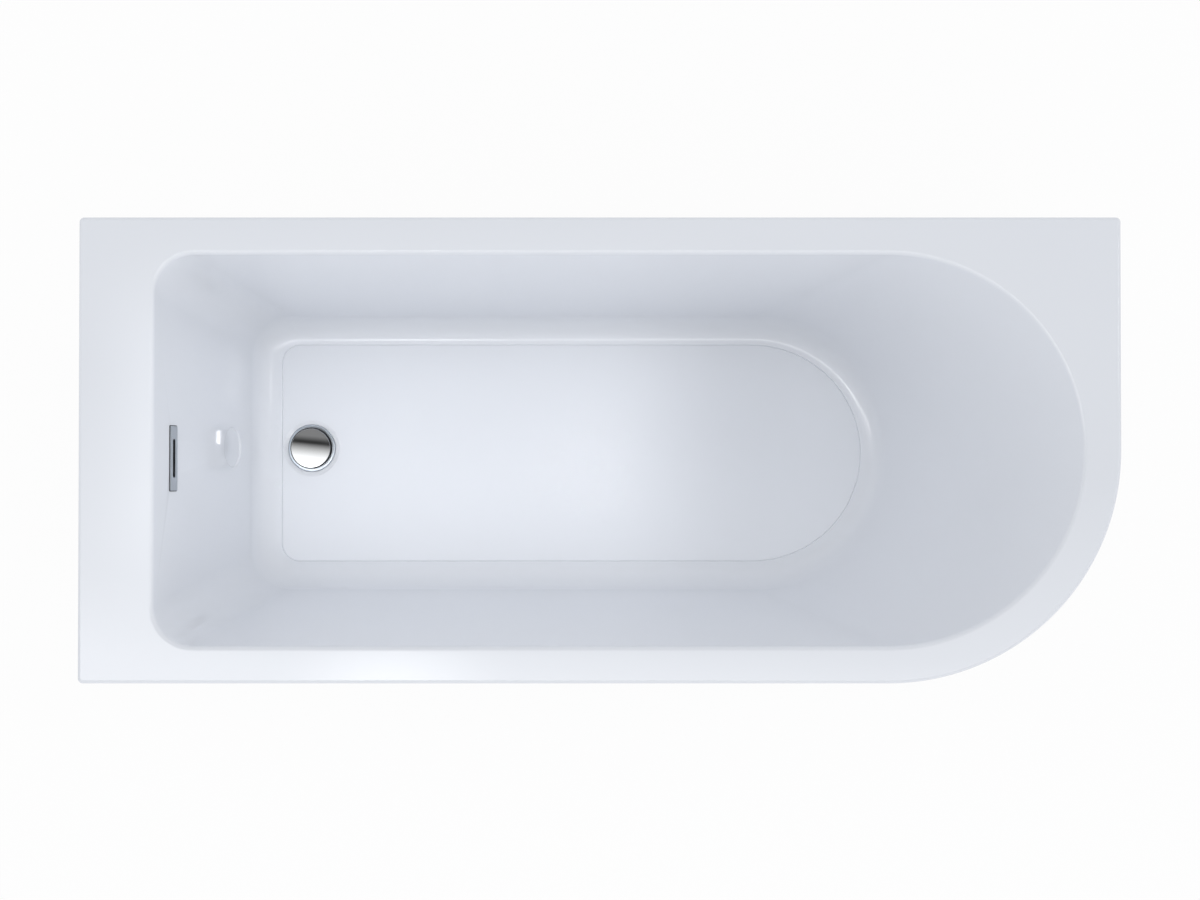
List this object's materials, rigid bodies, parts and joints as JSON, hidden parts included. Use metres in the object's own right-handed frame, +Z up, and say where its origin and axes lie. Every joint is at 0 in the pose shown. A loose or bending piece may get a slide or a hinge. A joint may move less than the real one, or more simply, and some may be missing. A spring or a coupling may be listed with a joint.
{
  "type": "corner bathtub",
  "caption": "Back-to-wall corner bathtub with one rounded corner, sloping backrest, slotted overflow, click plug waste, apron and adjustable feet.",
  "frame": {"origin": "on the floor under the middle of the rim's overall rectangle", "axes": "+X from the tap end to the rounded backrest end, +Y to the back wall, +Z up"},
  "size_m": [1.7, 0.76, 0.58],
  "materials": {
    "acrylic": "white gloss sanitary acrylic",
    "apron_acrylic": "white gloss acrylic, as the tub",
    "fibreglass": "rough sprayed glass-fibre laminate",
    "board": "raw chipboard",
    "timber": "planed softwood",
    "zinc_steel": "bright zinc plate on folded sheet",
    "fastener_steel": "zinc plate",
    "chrome": "polished chrome plate",
    "satin_chrome": "satin chrome plate",
    "brass": "turned brass",
    "rubber": "matt black rubber",
    "waste_plastic": "white moulded polypropylene",
    "hose_plastic": "grey flexible polyethylene",
    "nut_plastic": "white moulded polypropylene",
    "pad_plastic": "black moulded nylon"
  },
  "bodies": {
    "bath": {"bath_shell": "acrylic", "fibreglass_backing": "fibreglass", "base_board": "board", "back_rim_batten": "timber", "front_rim_batten": "timber", "tap_deck_board": "board", "corner_gusset": "board", "front_apron": "apron_acrylic", "apron_plinth_batten": "timber", "leg_channel_tap_end": "zinc_steel", "leg_channel_middle": "zinc_steel", "leg_channel_head_end": "zinc_steel", "channel_screws": "fastener_steel", "leg_lock_nuts": "fastener_steel", "leg_washers": "fastener_steel", "wall_bracket_back_tap": "zinc_steel", "wall_bracket_back_head": "zinc_steel", "wall_bracket_tap_end": "zinc_steel", "wall_bracket_screws": "fastener_steel", "waste_flange": "chrome", "waste_gasket": "rubber", "waste_washer": "rubber", "waste_body": "waste_plastic", "plug_cartridge": "brass", "overflow_cover": "satin_chrome", "overflow_seal": "rubber", "overflow_body": "waste_plastic", "overflow_hose": "hose_plastic", "hose_nut_top": "nut_plastic", "hose_nut_bottom": "nut_plastic"},
    "plug": {"plug_cap": "chrome", "plug_gasket": "rubber", "plug_stem": "brass"},
    "foot_tap_front": {"foot_rod_tap_front": "fastener_steel", "foot_pad_tap_front": "pad_plastic"},
    "foot_tap_back": {"foot_rod_tap_back": "fastener_steel", "foot_pad_tap_back": "pad_plastic"},
    "foot_middle_front": {"foot_rod_middle_front": "fastener_steel", "foot_pad_middle_front": "pad_plastic"},
    "foot_middle_back": {"foot_rod_middle_back": "fastener_steel", "foot_pad_middle_back": "pad_plastic"},
    "foot_head_front": {"foot_rod_head_front": "fastener_steel", "foot_pad_head_front": "pad_plastic"},
    "foot_head_back": {"foot_rod_head_back": "fastener_steel", "foot_pad_head_back": "pad_plastic"}
  },
  "joints": [
    {"name": "plug_slide", "type": "slide", "parent": "bath", "child": "plug", "axis": [0, 0, 1], "range_m": [-0.009, 0], "stiffness_N_per_m": 500, "springref_m": 0.012},
    {"name": "foot_tap_front_slide", "type": "slide", "parent": "bath", "child": "foot_tap_front", "axis": [0, 0, 1], "range_m": [-0.025, 0.015]},
    {"name": "foot_tap_back_slide", "type": "slide", "parent": "bath", "child": "foot_tap_back", "axis": [0, 0, 1], "range_m": [-0.025, 0.015]},
    {"name": "foot_middle_front_slide", "type": "slide", "parent": "bath", "child": "foot_middle_front", "axis": [0, 0, 1], "range_m": [-0.025, 0.015]},
    {"name": "foot_middle_back_slide", "type": "slide", "parent": "bath", "child": "foot_middle_back", "axis": [0, 0, 1], "range_m": [-0.025, 0.015]},
    {"name": "foot_head_front_slide", "type": "slide", "parent": "bath", "child": "foot_head_front", "axis": [0, 0, 1], "range_m": [-0.025, 0.015]},
    {"name": "foot_head_back_slide", "type": "slide", "parent": "bath", "child": "foot_head_back", "axis": [0, 0, 1], "range_m": [-0.025, 0.015]}
  ]
}
